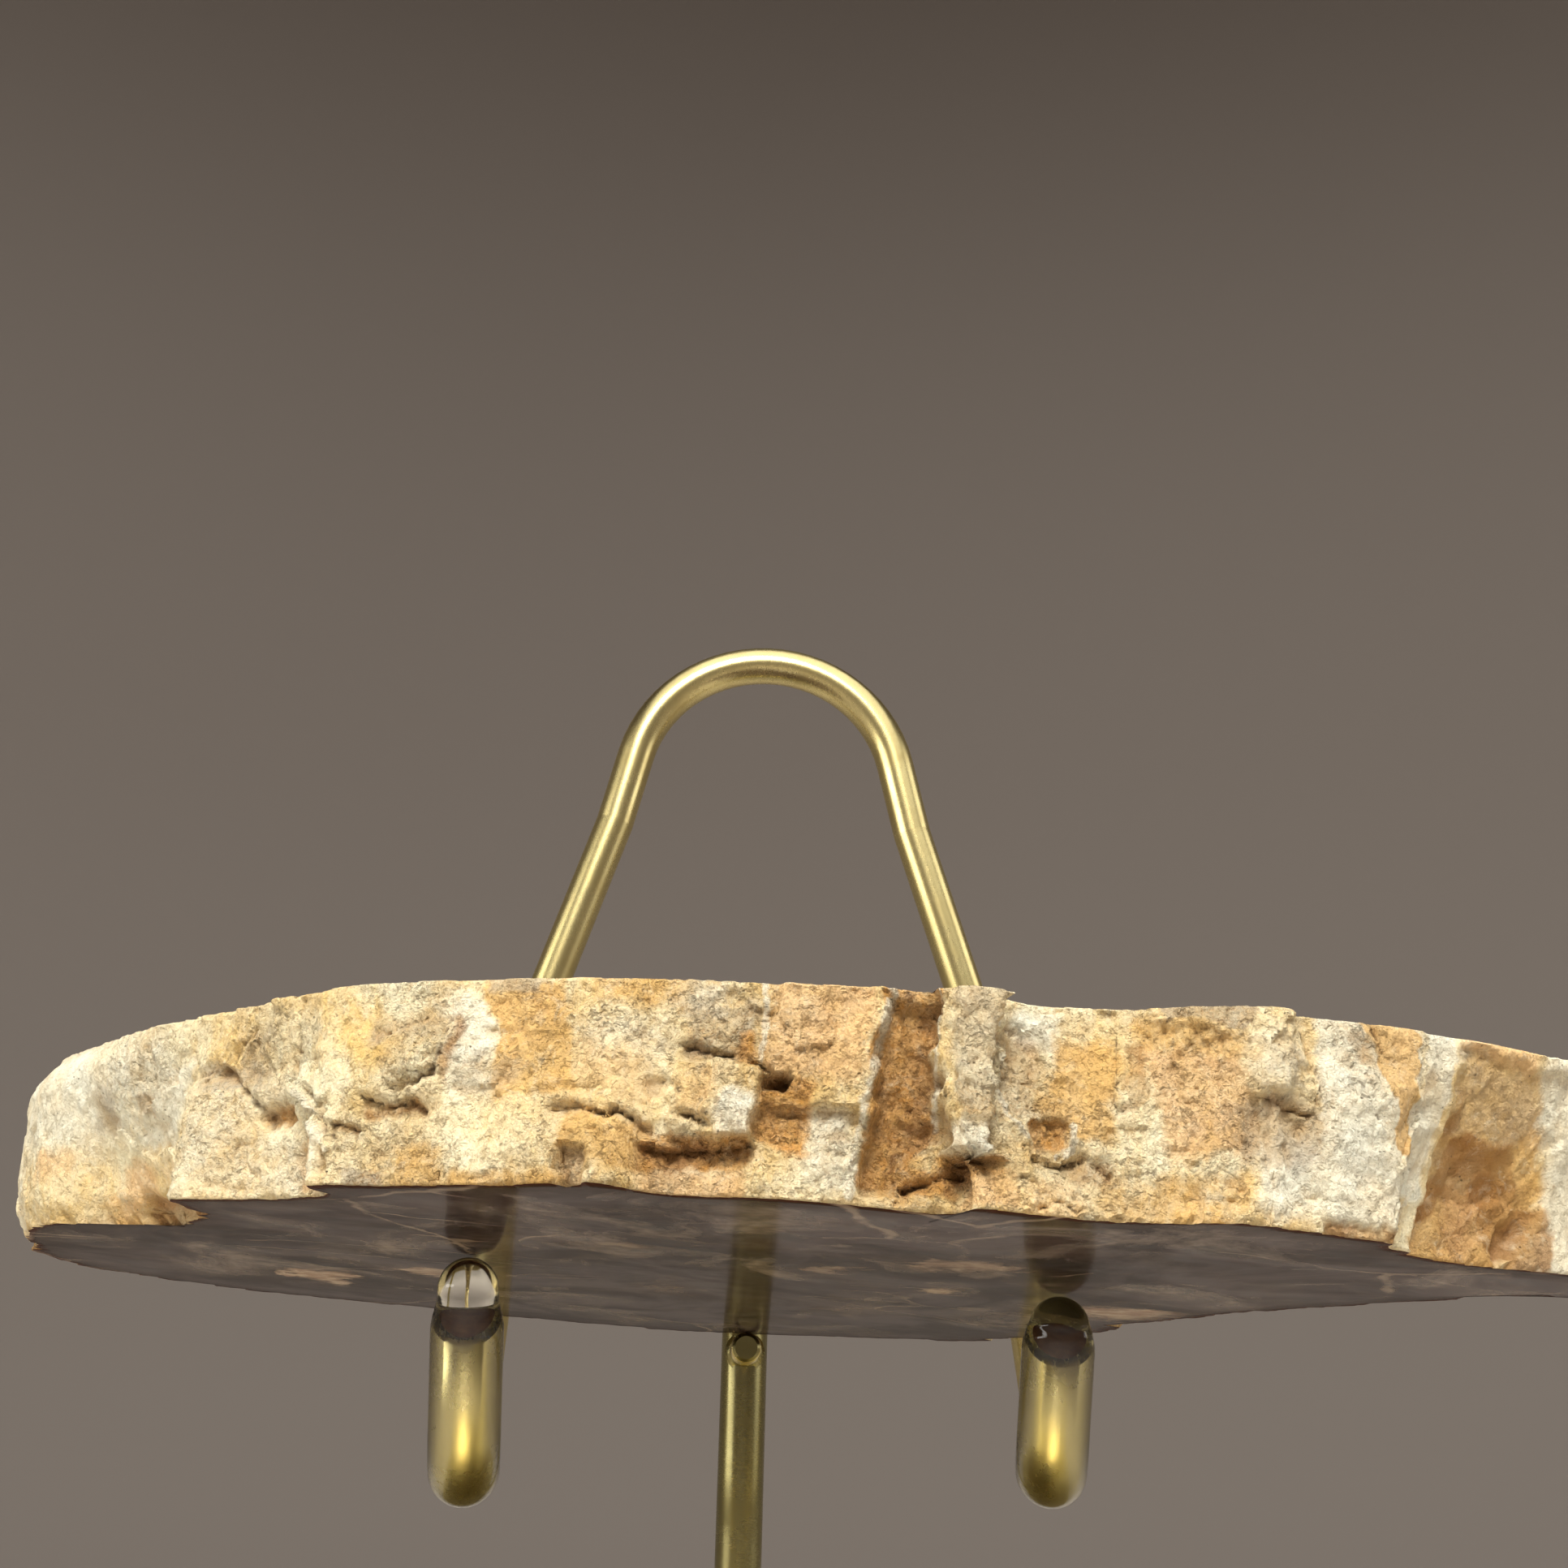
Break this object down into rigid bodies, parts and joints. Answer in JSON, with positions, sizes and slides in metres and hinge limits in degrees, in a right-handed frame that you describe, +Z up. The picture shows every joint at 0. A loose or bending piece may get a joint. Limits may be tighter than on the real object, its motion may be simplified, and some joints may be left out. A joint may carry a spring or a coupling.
{
  "type": "petrified wood slice on a display stand",
  "caption": "Thick flat-sawn slice of petrified wood with polished faces and a broken rind, lying level on a bent-wire brass stand with clear-capped hooks.",
  "frame": {"origin": "middle of the underside of the stand's base, on the surface it stands on", "axes": "+Z up, +Y from the front hooks back to the arch and the post, +X to the right seen from the front"},
  "size_m": [0.1171, 0.1071, 0.1177],
  "materials": {
    "petrified_wood": "cream, ochre and rust broken rind; polished dark grey-brown sawn faces",
    "brass": "polished brass",
    "clear_vinyl": "clear soft vinyl"
  },
  "bodies": {
    "root": {"petrified_wood_slice": "petrified_wood", "cradle_wire": "brass", "cap_left": "clear_vinyl", "cap_right": "clear_vinyl", "crossbar": "brass", "post": "brass", "rest_peg": "brass", "base": "brass"}
  },
  "joints": []
}
